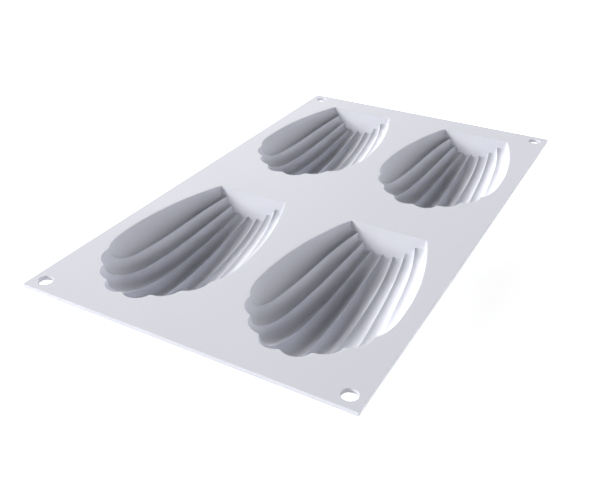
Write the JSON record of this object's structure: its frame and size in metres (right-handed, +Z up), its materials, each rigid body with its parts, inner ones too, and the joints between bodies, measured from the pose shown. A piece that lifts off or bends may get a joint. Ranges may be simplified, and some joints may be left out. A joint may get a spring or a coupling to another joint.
{
  "type": "madeleine baking mould",
  "caption": "Flexible rectangular baking mould: a flat sheet with large fluted scallop-shell cavities in two columns and a round hole near each corner.",
  "frame": {"origin": "on the ground plane under the middle of the sheet, where the cups' cut-flat bottoms stand", "axes": "+Z up out of the cavities, +Y along the long side from the scalloped ends to the straight heels of the shells, +X to the right"},
  "size_m": [0.175, 0.3, 0.0262],
  "materials": {
    "silicone": "matte moulded platinum silicone, pale grey with a faint lilac tint"
  },
  "bodies": {
    "root": {"deck_sheet": "silicone", "shell_front_left": "silicone", "shell_front_right": "silicone", "shell_rear_left": "silicone", "shell_rear_right": "silicone"}
  },
  "joints": []
}
